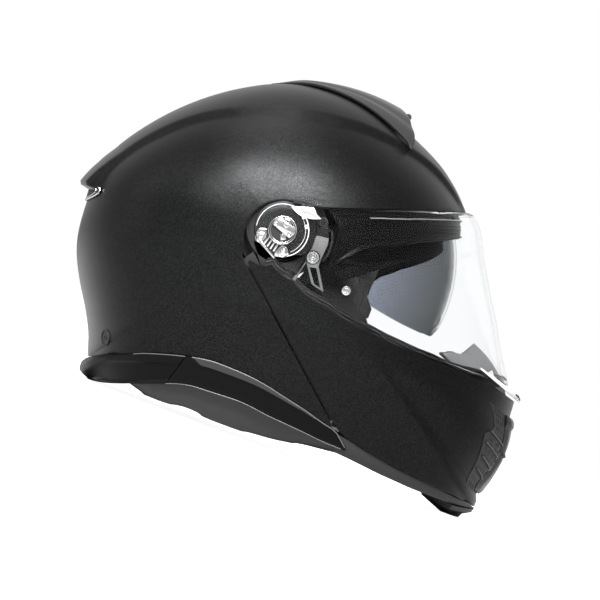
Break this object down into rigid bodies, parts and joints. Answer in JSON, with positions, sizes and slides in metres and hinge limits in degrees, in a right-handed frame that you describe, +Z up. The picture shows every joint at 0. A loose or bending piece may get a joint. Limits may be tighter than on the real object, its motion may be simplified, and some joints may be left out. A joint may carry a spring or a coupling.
{
  "type": "modular motorcycle helmet",
  "caption": "Flip-up motorcycle helmet with painted shell, hinged chin bar, clear visor, drop-down sun visor, vents and padded lining.",
  "frame": {"origin": "on the surface the helmet stands on, under the middle of its box", "axes": "+X to the front of the helmet, +Y to the wearer's left, +Z up as it stands on a table"},
  "size_m": [0.3602, 0.255, 0.2665],
  "materials": {
    "shell_paint": "matte dark grey metallic paint on moulded plastic",
    "black_trim": "black moulded plastic, satin",
    "rubber": "black moulded rubber",
    "foam": "dark expanded foam",
    "lining": "brushed knitted lining fabric",
    "clear_lens": "clear polycarbonate",
    "smoke_lens": "smoke tinted polycarbonate",
    "metal": "bright zinc plated metal",
    "mesh": "black moulded mesh",
    "webbing": "black woven webbing"
  },
  "bodies": {
    "shell": {"outer_shell": "shell_paint", "rear_lower_trim": "black_trim", "side_trim_right": "black_trim", "side_trim_left": "black_trim", "top_vent_cover": "black_trim", "exhaust_grille": "black_trim", "side_plate_right": "black_trim", "side_plate_left": "black_trim", "sun_track": "black_trim", "buckle_body": "black_trim", "brow_seal": "rubber", "port_plug_right": "rubber", "port_plug_left": "rubber", "crown_foam": "foam", "brow_foam": "foam", "cheek_foam_right": "foam", "cheek_foam_left": "foam", "crown_pad": "lining", "neck_roll": "lining", "cheek_pad_right": "lining", "cheek_pad_left": "lining", "boss_screws": "metal", "latch_strikers": "metal", "sun_pivots": "metal", "strap_anchors": "metal", "strap_right": "webbing", "strap_left": "webbing"},
    "chin_bar": {"chin_bar_shell": "shell_paint", "chin_foam": "foam", "chin_trim": "black_trim", "chin_spoiler": "black_trim", "visor_seal": "rubber", "pivot_arm_right": "metal", "pivot_arm_left": "metal", "pivot_cover_right": "black_trim", "pivot_cover_left": "black_trim", "base_plate_right": "metal", "base_plate_left": "metal", "base_screws": "metal", "hinge_link_right": "metal", "hinge_link_left": "metal", "chin_vent_frame": "black_trim", "chin_vent_mesh": "mesh", "breath_deflector": "rubber", "chin_curtain": "lining", "latch_axles": "metal"},
    "visor": {"visor": "clear_lens", "visor_ring_right": "clear_lens", "visor_ring_left": "clear_lens", "lens_pins": "metal", "lift_tab": "black_trim"},
    "sun_visor": {"sun_visor": "smoke_lens", "sun_arm_right": "black_trim", "sun_arm_left": "black_trim"},
    "sun_slider": {"sun_slider": "rubber"},
    "top_vent_slider": {"top_vent_slider": "rubber"},
    "chin_vent_slider": {"chin_vent_slider": "rubber"},
    "release_lever": {"release_lever": "black_trim"},
    "latch_hooks": {"latch_hooks": "metal"},
    "buckle_lever": {"buckle_lever": "rubber"}
  },
  "joints": [
    {"name": "chin_bar_swing", "type": "hinge", "parent": "shell", "child": "chin_bar", "pos_m": [-0.02979, 0, 0.15212], "axis": [0, -1, 0], "range_deg": [0, 80]},
    {"name": "visor_swing", "type": "hinge", "parent": "chin_bar", "child": "visor", "pos_m": [-0.02838, 0, 0.1505], "axis": [0, -1, 0], "range_deg": [0, 40]},
    {"name": "sun_visor_swing", "type": "hinge", "parent": "shell", "child": "sun_visor", "pos_m": [-0.00127, 0, 0.14002], "axis": [0, -1, 0], "range_deg": [0, 40]},
    {"name": "sun_slider_travel", "type": "slide", "parent": "shell", "child": "sun_slider", "axis": [-1, 0, 0], "range_m": [0, 0.016]},
    {"name": "top_vent_travel", "type": "slide", "parent": "shell", "child": "top_vent_slider", "axis": [-0.971, 0, 0.2391], "range_m": [0, 0.005]},
    {"name": "chin_vent_travel", "type": "slide", "parent": "chin_bar", "child": "chin_vent_slider", "axis": [-0.0067, 0, 1], "range_m": [0, 0.005]},
    {"name": "release_travel", "type": "slide", "parent": "chin_bar", "child": "release_lever", "axis": [1, 0, 0], "range_m": [0, 0.004], "stiffness_N_per_m": 400},
    {"name": "latch_swing", "type": "hinge", "parent": "chin_bar", "child": "latch_hooks", "pos_m": [0.05046, 0, 0.05006], "axis": [0, 1, 0], "range_deg": [0, 20]},
    {"name": "buckle_lever_swing", "type": "hinge", "parent": "shell", "child": "buckle_lever", "pos_m": [-0.02298, -0.013, 0.0209], "axis": [-1, 0, 0], "range_deg": [0, 40]}
  ],
  "couplings": [
    {"joint": "sun_slider_travel", "follows": "sun_visor_swing", "m_per_rad": 0.0229},
    {"joint": "latch_swing", "follows": "release_travel", "rad_per_m": 87}
  ]
}
